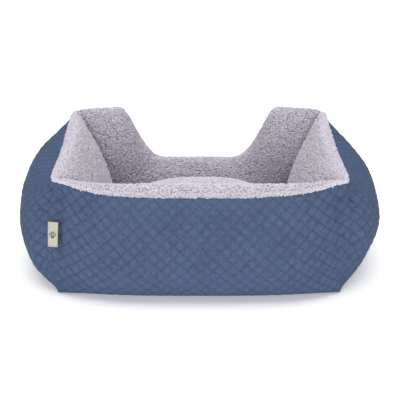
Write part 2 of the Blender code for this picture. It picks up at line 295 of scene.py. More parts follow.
def underside_mesh():
    """The cloth with its turned hem, a shade thicker along the edge, and the pad's shallow swell above it."""
    half = (base_high - base_low) / 2
    count = UNDERSIDE_POINTS
    u, v = np.meshgrid(np.linspace(-1, 1, count), np.linspace(-1, 1, count))
    x, y = u * half.x, v * half.y
    edge = np.minimum(half.x - abs(x), half.y - abs(y))
    x = x - np.sign(x) * CORNER_CUT[0] * abs(u * v) ** 8
    y = y - np.sign(y) * CORNER_CUT[1] * abs(u * v) ** 8
    hem = HEM_RISE * (edge < HEM_WIDTH)
    low = np.stack([x, y, np.full_like(x, base_low.z)], axis=-1)
    swell = (pad_top - base_high.z) * np.clip((edge - PAD_INSET) / PAD_SLOPE, 0, 1)
    high = np.stack([x, y, base_high.z + hem + swell], axis=-1)
    faces = grid_faces(count, count)
    numbers = np.arange(count * count).reshape(count, count)
    ring = np.concatenate([numbers[0], numbers[1:, -1], numbers[-1, -2::-1], numbers[-2:0:-1, 0]])
    after = np.roll(ring, -1)
    far = count * count
    sides = np.stack([ring, after, after + far, ring + far], axis=1)
    points = np.concatenate([low.reshape(-1, 3), high.reshape(-1, 3)])
    return points, np.concatenate([faces[:, ::-1], faces + far, sides])


underside = joined("underside_cloth", *underside_mesh(), non_slip_cloth())
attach(underside, "bed")
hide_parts("base_panel", "base_pad")
base_size = (base_high.x - base_low.x, base_high.y - base_low.y)

dot_spots = []
for row in range(int(base_size[1] / DOT_PITCH) - 3):
    for column in range(int(base_size[0] / DOT_PITCH) - 3):
        steps = (column + 2 + (row % 2) / 2, row + 2)
        x, y = (corner + step * DOT_PITCH for corner, step in zip(base_low, steps))
        dot_spots.append((x, y, base_low.z + DOT_SINK))
dots = grown("non_slip_dots", plain_mesh("dot_spots", dot_spots), dotted(rubber()))
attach(dots, "bed")

# PILE
# The linings, the bed's floor and the cushion are cut from one lavender-grey sherpa cloth: a knitted
# back with looped pile brushed into small tight curls. Its colour is painted darker in the gaps between
# curls, as painted shade.


def pile_cloth():
    made, shader, place = new_material("sherpa_pile", 0.95, Specular_IOR_Level=0.2, Sheen_Weight=0.06)
    height = place.node("ShaderNodeAttribute", {"attribute_name": "pile"}, {}, output=2)
    clumps = place.noise(60.0, 3.0)
    fibres = place.noise(900.0, 3.0, 0.65)
    curls = place.node("ShaderNodeTexVoronoi", {}, {"Vector": place, "Scale": 520.0})
    # Painted shade: low pile and the edges of the curl cells are coloured darker, where shade falls between
    # curls
    tone = height.between(0.0, 0.8) * 0.62 + clumps * 0.16 + fibres * 0.20 + (1 - curls) * 0.12
    colour = tone.ramped(
        (0.14, (0.250, 0.217, 0.270)),
        (0.38, (0.495, 0.456, 0.532)),
        (0.66, (0.650, 0.614, 0.690)),
        (0.96, (0.760, 0.730, 0.795)),
    )
    connect(colour, shader, "Base Color")
    raise_bumps(shader, fibres * 0.5 + (1 - curls) * 0.5, 0.0008, 0.7)
    return made


def with_pile_height(mesh, value):
    """Stores how high the pile stands at each point, from 0 to 1, for the cloth's shading."""
    return mesh.node(
        "GeometryNodeStoreNamedAttribute",
        {"data_type": "FLOAT", "domain": "POINT"},
        {"Geometry": mesh, "Name": "pile", "Value": value},
    )


def pushed_out(mesh, reach):
    """A mesh with each point moved this far out along its normal."""
    normal = mesh.node("GeometryNodeInputNormal", {}, {})
    push = mesh.node("ShaderNodeVectorMath", {"operation": "SCALE"}, {0: normal, "Scale": reach})
    return mesh.node("GeometryNodeSetPosition", {}, {"Geometry": mesh, "Offset": push})


def pile_tree(material):
    """Raises curls out of a cloth: rounded clumps with creases between them, uneven from place to place."""
    tree, wires = new_tree("sherpa pile", Depth=0.0046, Curl=0.0027, Unevenness=0.0030, Seed=3)
    start = wires["Geometry"]
    place = start.node("GeometryNodeInputPosition", {}, {})
    drift = start.node("ShaderNodeTexNoise", {}, {"Vector": place, "Scale": 170.0, "Detail": 1.0}, output=1)
    wander = start.node(
        "ShaderNodeVectorMath", {"operation": "MULTIPLY_ADD"}, {0: drift, 1: (0.005, 0.005, 0.005), 2: place}
    )
    cells = start.node(
        "ShaderNodeTexVoronoi",
        {"feature": "SMOOTH_F1"},
        {"Vector": wander, "Scale": 1 / wires["Curl"], "Smoothness": 0.2},
    )
    curl = (1.05 - 1.25 * cells).maths("MAXIMUM", 0.0)
    high = curl * (0.45 + 1.1 * place.noise(120.0))
    lie = place.noise(20.0, seed=wires["Seed"] * 7.7)
    marked = with_pile_height(start, high.maths("MINIMUM", 1.0))
    reach = high * wires["Depth"] + (lie - 0.5) * wires["Unevenness"]
    close_tree(pushed_out(marked, reach), material)
    return tree


pile_surface = pile_cloth()
sherpa = pile_tree(pile_surface)

# FLOOR LINING
# One flat sheet of the same pile over the pad, sewn to the linings all round. It shows when the
# cushion is lifted out.
floor_low, floor_high = (Vector(corner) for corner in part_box("floor_lining"))
SHEET_PITCH = 0.0024
KNITTED_BACK = 0.001  # from the cloth's back to the root of its pile


def laid_sheet():
    half = (floor_high - floor_low) / 2
    columns = int(2 * half.x / SHEET_PITCH)
    rows = int(2 * half.y / SHEET_PITCH)
    x, y = np.meshgrid(np.linspace(-half.x, half.x, columns), np.linspace(-half.y, half.y, rows))
    points = np.stack([x, y, np.full_like(x, floor_high.z - KNITTED_BACK)], axis=-1)
    return plain_mesh("laid_sheet", points, grid_faces(rows, columns))


floor_sheet = grown("floor_lining_cloth", laid_sheet(), sherpa, Depth=0.0014, Unevenness=0.0005)
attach(floor_sheet, "bed")
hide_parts("floor_lining")

# WALLS
# Four stuffed rolls, each a quilted panel outside and a pile lining inside, sewn together at the rim
# and to the next wall down each corner. Each is a cubic curve from foot to rim, swept from corner to
# corner and filled out between them. The rear wall dips in a scoop that the pet steps in over.
OUTWARD = {"front": (0, -1), "rear": (0, 1), "left": (-1, 0), "right": (1, 0)}
FACETS = 0.001  # the frame's flat facets lie this far inside the cloth's true curve
FOOT_OVER_BASE = 0.0042
LINING_OVER_FLOOR = 0.0012
RIM_LEANS_IN = (0.073, 0.050)  # from the belly, along X and Y
EARS_OVER_CORNERS = 0.006
BELLY = np.array([cad_high[0] + FACETS, cad_high[1] + FACETS])
RIM = BELLY - RIM_LEANS_IN
FOOT = np.array([base_high.x, base_high.y]) + FOOT_OVER_BASE
FLOOR = np.array([floor_high.x, floor_high.y]) + LINING_OVER_FLOOR
WALL_HEIGHT = cad_high[2] - EARS_OVER_CORNERS
foot_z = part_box("front_outer_panel")[0][2]
floor_z = floor_low.z
BELLY_HEIGHT = 0.088
PLUMPNESS = {"outer": 3.8, "lining": 6.5}  # how full a wall stays towards its corners
SAG_ROUNDNESS = {"front": 3.1, "rear": 5.5, "left": 4.0, "right": 4.0}
SAG = {"front": 0.0165, "rear": -0.006, "left": 0.006, "right": 0.006}
FOOT_ROUNDING = 0.007  # how far the panel lifts off the floor before it turns up
CORNER_ROUNDING = 0.020
CORNER_BELLY = -0.004
PUFF = (0.032, 0.022)  # how far a side or an end lining leans in over the floor, half-way up
CORNER_PUFF = -0.006  # the corner seams are pulled out instead, which leaves a deep crease
CREST_REACH = 0.020
CORNER_CREST_REACH = 0.006
SEAM_BELOW_CREST = 0.018
CORNER_SEAM_BELOW_CREST = 0.007
CORNER_CREST = 0.003
SCOOP_CENTRE = -0.0034
SCOOP_DEPTH = 0.110
SCOOP_FLAT = 0.119
SCOOP_MOUTH = 0.333
SCOOP_TURN = 1.6  # a wide bend at the scoop's floor, a tighter one at the ears
CLOTH_UP_WALL = 0.30  # from the foot to the rim, near enough to space the rows by
SEAM_FOLD = 0.004  # how deep the seam allowance is turned in
# Where the stuffing has settled: the place, how far it spreads, and how far the cloth has moved there
SETTLED = [
    ((-0.335, 0.10, 0.186), (0.080, 0.24, 0.068), (-0.011, 0.0, 0.006)),
    ((0.335, 0.04, 0.158), (0.080, 0.17, 0.057), (0.005, 0.0, -0.001)),
    ((-0.277, -0.21, 0.224), (0.060, 0.06, 0.070), (0.009, 0.0, 0.008)),
    ((-0.277, 0.00, 0.222), (0.040, 0.12, 0.035), (0.008, 0.0, 0.0)),
    ((0.277, 0.00, 0.222), (0.040, 0.12, 0.035), (-0.006, 0.0, 0.0)),
    ((0.277, -0.21, 0.224), (0.060, 0.06, 0.070), (-0.007, 0.0, 0.006)),
    ((-0.277, 0.21, 0.226), (0.040, 0.22, 0.050), (0.013, 0.0, 0.0)),
    ((0.277, 0.21, 0.226), (0.040, 0.22, 0.050), (-0.014, 0.0, 0.002)),
    ((-0.300, -0.22, 0.060), (0.060, 0.06, 0.050), (-0.005, 0.0, 0.0)),
    ((0.320, -0.18, 0.050), (0.070, 0.13, 0.050), (-0.010, 0.0, 0.004)),
]
TIPS = (0.277, 0.210, 0.226)  # the rim's four tips, to either side of the middle
TIP_SPREAD = (0.014, 0.014, 0.020)
TIP_BLUNT = (0.003, 0.005)  # how far the seams draw the tips in and down


def facing(wall):
    """The axis a wall faces along: 1 for the front and the rear, 0 for the sides."""
    return 1 if wall in ("front", "rear") else 0


def bezier(points, t):
    """Points at t of a cubic curve with these two ends and the two handles between them."""
    ends = np.array(points, float)
    t = np.asarray(t)[:, None]
    s = 1 - t
    return ends[0] * s**3 + ends[1] * 3 * s * s * t + ends[2] * 3 * s * t * t + ends[3] * t**3


def quilt_section(foot, belly, rim, rim_z, rounding=FOOT_ROUNDING):
    reach = (8 * belly - foot - rim) / 6
    lift = (8 * BELLY_HEIGHT - 4 * foot_z - rim_z) / 3
    return [(foot, foot_z), (reach, foot_z + rounding), (reach, lift - rounding / 2), (rim, rim_z)]


def lining_section(floor, rim, rim_z, crest, puff, reach=CREST_REACH):
    shoulder = floor_z + 0.5 * (rim_z - floor_z)
    return [(floor, floor_z), (floor - puff, shoulder), (rim - reach, rim_z + 4 * crest), (rim, rim_z)]


def corner_seam(skin):
    """The four points of a corner seam's curve, the same at each corner."""
    rim_z = WALL_HEIGHT - CORNER_SEAM_BELOW_CREST
    made = []
    for axis, rim in enumerate(RIM):
        if skin == "outer":
            foot, belly = FOOT[axis] - CORNER_CUT[axis], rim + CORNER_BELLY
            made.append(quilt_section(foot, belly, rim, rim_z, CORNER_ROUNDING))
        else:
            shape = (CORNER_CREST, CORNER_PUFF, CORNER_CREST_REACH)
            made.append(lining_section(FLOOR[axis], rim, rim_z, *shape))
    return [(a[0], b[0], a[1]) for a, b in zip(*made)]


def middle_section(wall, skin):
    axis = facing(wall)
    rim_z = WALL_HEIGHT - SEAM_BELOW_CREST - SAG[wall]
    if skin == "outer":
        return quilt_section(FOOT[axis], BELLY[axis], RIM[axis], rim_z)
    return lining_section(FLOOR[axis], RIM[axis], rim_z, SEAM_BELOW_CREST, PUFF[axis])


def scoop(x):
    """How far the rear wall dips at a place along it."""
    t = np.clip((abs(x - SCOOP_CENTRE) - SCOOP_FLAT / 2) / ((SCOOP_MOUTH - SCOOP_FLAT) / 2), 0, 1)
    t = t**SCOOP_TURN
    return SCOOP_DEPTH * (1 - t * t * (3 - 2 * t))


def near(points, centre, spread):
    """1 at a centre, fading to nothing over this spread along X, Y and Z."""
    share = np.exp(-(((points - np.array(centre)) / np.array(spread)) ** 2).sum(axis=-1))
    return share[..., None]


def slumped(points):
    """The bed as its stuffing has settled: fuller on the left, slack at the front right foot."""
    moved = points.copy()
    for centre, spread, shift in SETTLED:
        moved += near(points, centre, spread) * np.array(shift)
    for side in (-1, 1):
        for end in (-1, 1):
            tip = near(points, (side * TIPS[0], end * TIPS[1], TIPS[2]), TIP_SPREAD)
            moved += tip * np.array([-side * TIP_BLUNT[0], -end * TIP_BLUNT[0], -TIP_BLUNT[1]])
    return moved


def wall_surface(wall, skin, u, s):
    """A grid of points, with a row for each s from the foot to the rim and a column for each u from corner
    to corner, and how far along the wall each of them lies."""
    out = np.array([*OUTWARD[wall], 0.0])
    along = np.array([-out[1], out[0], 0.0])
    corner = bezier(corner_seam(skin), s)
    middle = bezier(middle_section(wall, skin), s)
    axis = facing(wall)
    across, lengthwise = corner[:, axis, None], corner[:, 1 - axis, None]
    reach = across + (middle[:, :1] - across) * (1 - abs(u) ** PLUMPNESS[skin])
    height = corner[:, 2:] + (middle[:, 1:] - corner[:, 2:]) * (1 - abs(u) ** SAG_ROUNDNESS[wall])
    run = u * lengthwise
    if wall == "rear":
        share = np.clip((height - floor_z) / (WALL_HEIGHT - floor_z), 0, None)
        height = height - scoop(-run) * share
    points = out * reach[..., None] + along * run[..., None] + np.array([0, 0, 1.0]) * height[..., None]
    return slumped(points), run


def directions(points):
    """Unit normals of a grid of points, out of the face that grid_faces turns up."""
    normal = np.cross(np.gradient(points, axis=1), np.gradient(points, axis=0))
    return normal / np.maximum(np.linalg.norm(normal, axis=-1, keepdims=True), 1e-12)


def turned_in(grid, normals, depth):
    """The grid with one more row or column round it, folded in behind the edge as a seam allowance."""
    wide = np.pad(grid, ((1, 1), (1, 1), (0, 0)), mode="edge")
    out = np.pad(normals, ((1, 1), (1, 1), (0, 0)), mode="edge")
    edge = np.ones(wide.shape[:2], bool)
    edge[1:-1, 1:-1] = False
    wide[edge] -= out[edge] * depth
    return wide


def measured(points, axis):
    """How far each point of a grid lies from its first row, or from its first column, along the cloth."""
    steps = np.cumsum(np.linalg.norm(np.diff(points, axis=axis), axis=-1), axis=axis)
    return np.concatenate([np.zeros_like(np.take(steps, [0], axis=axis)), steps], axis=axis)


def lay_cloth(mesh, across, up):
    """Gives each point of a mesh its place on the flat cloth, for patterns that follow it."""
    corner_of = np.empty(len(mesh.loops), np.int32)
    mesh.loops.foreach_get("vertex_index", corner_of)
    flat = np.stack([across.ravel(), up.ravel()], axis=1)[corner_of]
    mesh.uv_layers.new(name="cloth").data.foreach_set("uv", flat.astype(np.float32).ravel())


def wall_mesh(wall, skin, pitch):
    """A fine mesh of one skin that knows its place on the cloth and how far it is from each seam."""
    half_length = RIM[1 - facing(wall)]
    u = np.linspace(-1, 1, int(2 * half_length / pitch))
    points, run = wall_surface(wall, skin, u, np.linspace(0, 1, int(CLOTH_UP_WALL / pitch)))
    rise = measured(points, 0)
    side = half_length * (1 - abs(u))[None, :] + np.zeros_like(rise)
    places = {"run": run, "rise": rise, "side": side, "top": rise[-1:] - rise}
    normals = directions(points) if skin == "outer" else -directions(points)
    grid = turned_in(points, normals, SEAM_FOLD)
    faces = grid_faces(*grid.shape[:2])
    mesh = plain_mesh(f"{wall}_{skin}", grid, faces if skin == "outer" else faces[:, ::-1])
    for name, value in places.items():
        places[name] = np.pad(value, ((1, 1), (1, 1)), mode="edge")
        layer = mesh.attributes.new(name, "FLOAT", "POINT")
        layer.data.foreach_set("value", places[name].astype(np.float32).ravel())
    lay_cloth(mesh, places["run"], places["rise"])
    return mesh


# QUILTED PANELS
# Blue microfibre cloth sewn to a thin wadding in a lattice of crossed lines, which leaves rows of small
# puffed squares that stand on their corners. The panel gathers a little where it is sewn at the corners.
QUILT_LINES = 0.0170
QUILT_PUFF = 0.0019
QUILT_PITCH = 0.0019  # between the points of the panels' meshes


def quilted_cloth():
    made, shader, place = new_material("quilted_cloth", 0.86, Specular_IOR_Level=0.14)
    across, up, _ = place.node("ShaderNodeUVMap", {"uv_map": "cloth"}, {}).split()
    waver = (place.noise(45.0, 1.0) - 0.5) * 0.0022
    period = QUILT_LINES * math.sqrt(2)
    lines = [abs((turn / period * math.pi).sine()) for turn in (across + up + waver, across - up + waver)]
    stitches = (across * 2600.0).sine().between(-0.9, -0.3)
    # Painted shade in the quilting grooves: the sewn lines, dashed like stitches, are coloured dark blue
    seam = (1 - lines[0].maths("MINIMUM", lines[1]).between(0.0, 0.10)) * (0.65 + 0.35 * stitches)
    puff = (lines[0] * lines[1]) ** 0.5
    cloudy = place.noise(16.0, 3.0)
    mottled = place.noise(165.0, 2.0, 0.6)
    threads = place.noise(1300.0, 2.0, 0.6)
    # Painted light: the puffed squares between the lines are coloured lighter, as if lit on their tops
    tone = 0.04 + puff * 0.16 + cloudy * 0.22 + mottled * 0.60 + threads * 0.20
    colour = tone.ramped(
        (0.22, (0.040, 0.063, 0.122)),
        (0.60, (0.067, 0.100, 0.179)),
        (0.98, (0.106, 0.149, 0.251)),
    )
    side = place.node("ShaderNodeAttribute", {"attribute_name": "side"}, {}, output=2)
    # The painted groove shade is deepened towards each corner seam, where the panel gathers
    drawn = 0.84 - 0.54 * side.between(0.02, 0.17)
    connect((seam * drawn).mixed(colour, (0.014, 0.026, 0.060)), shader, "Base Color")
    weave = (across * 9000).sine() * (up * 9000).sine()
    raise_bumps(shader, puff * 0.5 + mottled * 0.3 + threads * 0.2 + weave * 0.06, 0.0008, 0.7)
    return made


def quilt_tree(material):
    """Puffs the squares between the sewn lines, lets the stuffing swell the panel, gathers it into folds
    that run out from its top corners, and pinches it in a shallow groove beside each corner seam."""
    sizes = {"Gather": 0.0034, "Fold_depth": 0.11, "Pinch": 0.0075, "Seed": 1}
    tree, wires = new_tree("quilting", Line_spacing=QUILT_LINES, Puff=QUILT_PUFF, **sizes)
    start = wires["Geometry"]
    run, rise, side, top = (
        start.node("GeometryNodeInputNamedAttribute", {"data_type": "FLOAT"}, {"Name": name})
        for name in ("run", "rise", "side", "top")
    )
    place = start.node("GeometryNodeInputPosition", {}, {})
    period = wires["Line spacing"] * math.sqrt(2)
    waves = [abs((turn / period * math.pi).sine()) for turn in (run + rise, run - rise)]
    cell = (waves[0] * waves[1]) ** 0.42
    seed = wires["Seed"] * 17.3
    swell = place.noise(9.0, 1.5, seed=seed)
    shape = (swell - 0.5) * 0.012
    ruck = start.node(
        "ShaderNodeTexNoise",
        {"noise_dimensions": "1D"},
        {"W": rise * 55.0 + seed, "Scale": 1.0, "Detail": 1.0},
    )
    gather = (ruck - 0.5) * 3.0 * wires["Gather"] * side.faded(0.028)
    spread = (side * side + top * top) ** 0.5
    turn = top.maths("ARCTAN2", side + 0.001)
    folds = (turn * 13.0 + 6.0 * swell).sine()
    radiating = folds * spread * spread.faded(0.045) * wires["Fold depth"]
    groove = (((side - 0.013) / 0.010) ** 2).faded(1) * side.between(0.0, 0.009)
    groove = groove * rise.between(0.05, 0.12) * top.between(0.0, 0.02)
    pinch = groove * (0.5 + swell) * wires["Pinch"]
    plump = side.between(0.0, 0.016) * top.between(-0.002, 0.010) * rise.between(0.0, 0.03)
    loose = side.between(0.0, 0.02) * top.between(0.0, 0.05) * rise.between(0.01, 0.06)
    reach = cell * wires["Puff"] * plump + (shape + gather + radiating) * loose - pinch
    close_tree(pushed_out(start, reach), material)
    return tree


quilting = quilt_tree(quilted_cloth())
for seed, wall in enumerate(OUTWARD):
    panel = grown(f"{wall}_quilted_panel", wall_mesh(wall, "outer", QUILT_PITCH), quilting, Seed=seed + 1)
    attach(panel, "bed")
    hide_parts(f"{wall}_outer_panel", f"{wall}_fill")

# LININGS
# The pile cloth runs from the bed's floor up over the stuffing and down to the rim seam, where its
# curls hang a little over the quilted panel.
LINING_PITCH = {"front": 0.0013, "rear": 0.0011, "left": 0.0013, "right": 0.0013}
for seed, wall in enumerate(OUTWARD):
    mesh = wall_mesh(wall, "lining", LINING_PITCH[wall])
    lining = grown(f"{wall}_pile_lining", mesh, sherpa, Seed=seed + 10)
    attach(lining, "bed")
    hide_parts(f"{wall}_lining")

# RIM CURLS
# Loose curls of the lining's pile, caught in the rim seam, hang over the top edge of the quilted panels.
CURL_SPACING = 0.0021
CURL_ROWS = (1.0, 0.985, 0.97)  # as shares of the way up the lining
CURL_LIFT = 0.0012
CURL_SCATTER = 0.0009


def curl_tree(material):
    """A small round curl on every point, each turned and sized by chance and pressed against the cloth."""
    tree, wires = new_tree("rim curls", Curl_size=0.0018, Seed=5)
    start = wires["Geometry"]
    blob = start.node("GeometryNodeMeshIcoSphere", {}, {"Radius": 1.0, "Subdivisions": 1})

    def by_chance(least, most):
        ends = {0: least, 1: most, "Seed": wires["Seed"]}
        return start.node("FunctionNodeRandomValue", {"data_type": "FLOAT_VECTOR"}, ends)

    turn = by_chance((0.0, 0.0, 0.0), (6.3, 6.3, 6.3))
    squashed = {0: by_chance((0.6, 0.6, 0.8), (1.2, 1.2, 1.7)), "Scale": wires["Curl size"]}
    size = start.node("ShaderNodeVectorMath", {"operation": "SCALE"}, squashed)
    curls_there = {"Points": start, "Instance": blob, "Rotation": turn, "Scale": size}
    curls = start.node("GeometryNodeInstanceOnPoints", {}, curls_there)
    whole = start.node("GeometryNodeRealizeInstances", {}, {0: curls})
    shade = {2: 0.45, 3: 0.85, "Seed": 8}
    tone = start.node("FunctionNodeRandomValue", {"data_type": "FLOAT"}, shade, output=1)
    close_tree(with_pile_height(whole, tone), material)
    return tree


draw = np.random.default_rng(11)
spots = []
for wall in OUTWARD:
    count = int(2 * RIM[1 - facing(wall)] / CURL_SPACING)
    for row in CURL_ROWS:
        u = np.clip(np.linspace(-1, 1, count) + draw.normal(0, 0.3 / count, count), -1, 1)
        grid, _ = wall_surface(wall, "lining", u, np.array([row - 0.012, row]))
        spots.append(grid[1] - directions(grid)[1] * CURL_LIFT + draw.normal(0, CURL_SCATTER, (count, 3)))
curls = grown("rim_curls", plain_mesh("rim_spots", np.concatenate(spots)), curl_tree(pile_surface))
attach(curls, "bed")

# CUSHION
# A loose pillow with a pile cover on both sides, seamed round its middle and blown full of fibre.
cushion_low = Vector(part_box("cushion_bottom_cover")[0])
cushion_high = Vector(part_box("cushion_top_cover")[1])
coil_low, coil_high = (np.array(corner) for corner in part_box("zip_coil"))
CUSHION_SEAM = (coil_low[2] + coil_high[2]) / 2  # the zip is sewn into the seam
CUSHION_CORNER = 0.14  # how far the corners are drawn in, as a share
CUSHION_CUT = 0.0056  # between the points of the covers' meshes
CUT_SHARE = 0.985  # the flat covers' size as a share of the stuffed cushion's
COVERS = {  # the middle's height before stuffing, how square the cover rises and how round
    "cushion_top": (cushion_high.z - 0.006, 2.4, 0.7),
    "cushion_underside": (cushion_low.z + 0.004, 8, 0.5),
}
STUFFING_PRESSURE = 4.0
STUFFING_STEPS = 20
MOST_SWELL = 0.012
SEAM_STIFFNESS = 4  # the higher, the nearer to its edge the cushion may swell


def sewn_pillow():
    """The two cut covers before stuffing: low and flat, with one seam round their shared edge."""
    columns, rows = (int(2 * half / CUSHION_CUT) for half in cushion_high[:2])
    x, y = np.meshgrid(np.linspace(-1, 1, columns), np.linspace(-1, 1, rows))
    drawn = (1 - CUSHION_CORNER * abs(x * y) ** 8) * CUT_SHARE
    halves = []
    for middle, power, roundness in COVERS.values():
        rise = ((1 - abs(x) ** power) * (1 - abs(y) ** power)) ** roundness
        z = CUSHION_SEAM + (middle - CUSHION_SEAM) * rise
        halves.append(np.stack([x * drawn * cushion_high.x, y * drawn * cushion_high.y, z], axis=-1))
    return halves


def stuffed(halves):
    """The covers after the cloth solver has blown them up, as two grids of points that share their edge."""
    rows, columns = halves[0].shape[:2]
    total = rows * columns
    lower = np.arange(total).reshape(rows, columns)
    inside = np.zeros(lower.shape, bool)
    inside[1:-1, 1:-1] = True
    lower[inside] = total + np.arange(inside.sum())
    before = np.concatenate([halves[0].reshape(-1, 3), halves[1][inside]])
    faces = grid_faces(rows, columns)
    bag = joined("bag", before, np.concatenate([faces, lower.ravel()[faces][:, ::-1]]))
    cloth = bag.modifiers.new("Stuffing", "CLOTH")
    cloth.settings.use_pressure = True
    cloth.settings.uniform_pressure_force = STUFFING_PRESSURE
    cloth.settings.effector_weights.gravity = 0.0
    cloth.settings.tension_stiffness = 12.0
    cloth.settings.bending_stiffness = 0.6
    cloth.settings.quality = 6
    cloth.point_cache.frame_end = STUFFING_STEPS
    for step in range(1, STUFFING_STEPS + 1):
        bpy.context.scene.frame_set(step)
    swollen = worked_out(bag)
    bpy.context.scene.frame_set(1)
    after = np.empty(len(swollen.vertices) * 3, np.float32)
    swollen.vertices.foreach_get("co", after)
    travel = after.reshape(-1, 3).astype(float) - before
    far = np.linalg.norm(travel, axis=1, keepdims=True)
    to_seam = abs(before[:, :2]) / cushion_high[:2]
    loose = 1.0 - to_seam.max(axis=1, keepdims=True) ** SEAM_STIFFNESS
    after = before + loose * travel * np.minimum(1.0, MOST_SWELL / np.maximum(far, 1e-9))
    after[:, 2] = np.maximum(after[:, 2], cushion_low.z)
    return after[:total].reshape(rows, columns, 3), after[lower]


halves = sewn_pillow()
halves = stuffed(halves)
for half, name in zip(halves, COVERS):
    top = name == "cushion_top"
    faces = grid_faces(*half.shape[:2])
    coarse = joined("cut_cover", half, faces if top else faces[:, ::-1])
    finer = coarse.modifiers.new("Finer", "SUBSURF")
    finer.levels = finer.render_levels = 2
    cover = grown(name, worked_out(coarse), sherpa, Seed=30, Depth=0.0028)
    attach(cover, "cushion")
    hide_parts(*(("cushion_top_cover", "cushion_fill") if top else ("cushion_bottom_cover",)))

# LABEL
# An ivory tape label folded round the front left corner seam, woven with a plain paw print and sewn
# down along its edges with small stitches.
LABEL_WIDTH = 0.023
LABEL_HEIGHT = 0.048
LABEL_CENTRE = 0.61  # as a share of the corner seam
LABEL_LIFT = 0.0024
LABEL_SHIFT = 0.005  # a little more of it lies on the front wall
LABEL_TILT = 0.20  # it is sewn on a little askew
LABEL_CLOTH = 0.0008
LABEL_COLUMNS = 25
LABEL_ROWS = 49
LABEL_EASINGS = 6  # how often the fold over the seam is eased
PAW_PADS = [  # each pad's middle, width and height, as shares of the label's width and half its height
    (0.00, -0.16, 0.200, 0.155),
    (-0.27, 0.02, 0.085, 0.115),
    (-0.10, 0.15, 0.085, 0.120),
    (0.10, 0.15, 0.085, 0.120),
    (0.27, 0.02, 0.085, 0.115),
]


def woven_label():
    made, shader, place = new_material("woven_label", 0.75, Sheen_Weight=0.1)
    across, up, _ = place.node("ShaderNodeUVMap", {"uv_map": "cloth"}, {}).split()
    pads = []
    for x, y, wide, tall in PAW_PADS:
        distance = ((across - x) / wide) ** 2 + ((up - y) / tall) ** 2
        pads.append(1 - distance.between(0.82, 1.12))
    paw = pads[0]
    for pad in pads[1:]:
        paw = paw.maths("MAXIMUM", pad)
    threads = 0.5 + 0.25 * (across * 310).sine() + 0.25 * (up * 330).sine()
    worn = place.noise(160.0, 3.0)
    ground = (threads * 0.45 + worn * 0.55).mixed((0.44, 0.42, 0.33), (0.66, 0.63, 0.52))
    connect((paw * 0.88).mixed(ground, (0.060, 0.075, 0.115)), shader, "Base Color")
    raise_bumps(shader, threads * 0.5 + paw * 0.5, 0.00025, 0.8)
    return made


def along_panel(wall, end, s, distance):
    """The point this far from the corner seam over a panel, measured along the cloth, for each s."""
    points, _ = wall_surface(wall, "outer", end * np.linspace(1, 0.85, 120), s)
    lifted = points + directions(points[:, ::-end])[:, ::-end] * LABEL_LIFT
    made = []
    for row, reach in zip(lifted, measured(points, 1)):
        made.append([np.interp(distance, reach, row[:, axis]) for axis in range(3)])
    return np.array(made)


def label_grid():
    """Points over the corner seam: its left part lies on the left wall, its right part on the front one."""
    step = 0.01
    below, above = bezier(corner_seam("outer"), [LABEL_CENTRE - step, LABEL_CENTRE + step])
    stretch = np.linalg.norm(above - below) / (2 * step)
    s = LABEL_CENTRE + np.linspace(-0.5, 0.5, LABEL_ROWS) * LABEL_HEIGHT / stretch
    made = np.zeros((LABEL_ROWS, LABEL_COLUMNS, 3))
    for column, reach in enumerate(np.linspace(-0.5, 0.5, LABEL_COLUMNS) * LABEL_WIDTH + LABEL_SHIFT):
        wall, end = ("front", -1) if reach >= 0 else ("left", 1)
        made[:, column] = along_panel(wall, end, s + LABEL_TILT * reach / stretch, abs(reach))
    for _ in range(LABEL_EASINGS):
        made[:, 1:-1] = (made[:, :-2] + 2 * made[:, 1:-1] + made[:, 2:]) / 4
        made[1:-1] = (made[:-2] + 2 * made[1:-1] + made[2:]) / 4
    return made


label_points = label_grid()
label = joined("paw_label", label_points, grid_faces(LABEL_ROWS, LABEL_COLUMNS), woven_label())
lay_cloth(label.data, *np.meshgrid(np.linspace(-0.5, 0.5, LABEL_COLUMNS), np.linspace(-1, 1, LABEL_ROWS)))
label.data.shade_smooth()
thick = label.modifiers.new("Cloth", "SOLIDIFY")
thick.thickness = LABEL_CLOTH
thick.offset = 1.0
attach(label, "bed")
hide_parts("corner_label")


def thread():
    made, shader, place = new_material("sewing_thread", 0.6)
    connect(place.noise(2500.0).mixed((0.42, 0.40, 0.32), (0.66, 0.63, 0.53)), shader, "Base Color")
    return made


def evenly_spaced(mesh, pitch):
    """Points this far apart along a line of edges."""
    line = mesh.node("GeometryNodeMeshToCurve", {}, {"Mesh": mesh})
    return mesh.node("GeometryNodeResampleCurve", {"mode": "LENGTH"}, {"Curve": line, "Length": pitch})


def stitch_tree(material):
    """Short round stitches laid end to end along a line of edges."""
    tree, wires = new_tree("stitches", Stitch_length=0.0022, Stitch_pitch=0.0031, Thread_radius=0.00028)
    start = wires["Geometry"]
    even = evenly_spaced(start, wires["Stitch pitch"])
    along = start.node("GeometryNodeInputTangent", {}, {})
    turn = start.node("FunctionNodeAlignRotationToVector", {"axis": "Z"}, {"Vector": along})
    round_bar = {"Vertices": 6, "Radius": wires["Thread radius"], "Depth": wires["Stitch length"]}
    bar = start.node("GeometryNodeMeshCylinder", {}, {**round_bar, "Side Segments": 1})
    stitches_there = {"Points": even, "Instance": bar, "Rotation": turn}
    close_tree(start.node("GeometryNodeInstanceOnPoints", {}, stitches_there), material)
    return tree


inner = label_points[2:-2, 2:-2]
border = np.concatenate([inner[0], inner[1:-1, -1], inner[-1, ::-1], inner[-2:0:-1, 0]])
border += np.array([-0.7, -0.7, 0.1]) * (LABEL_CLOTH + 0.0002)  # out to the label's face
order = np.arange(len(border))
seam_line = plain_mesh("label_border", border, edges=np.stack([order, np.roll(order, -1)], axis=1).tolist())
label_stitches = grown("label_stitches", seam_line, stitch_tree(thread()))
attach(label_stitches, "bed")

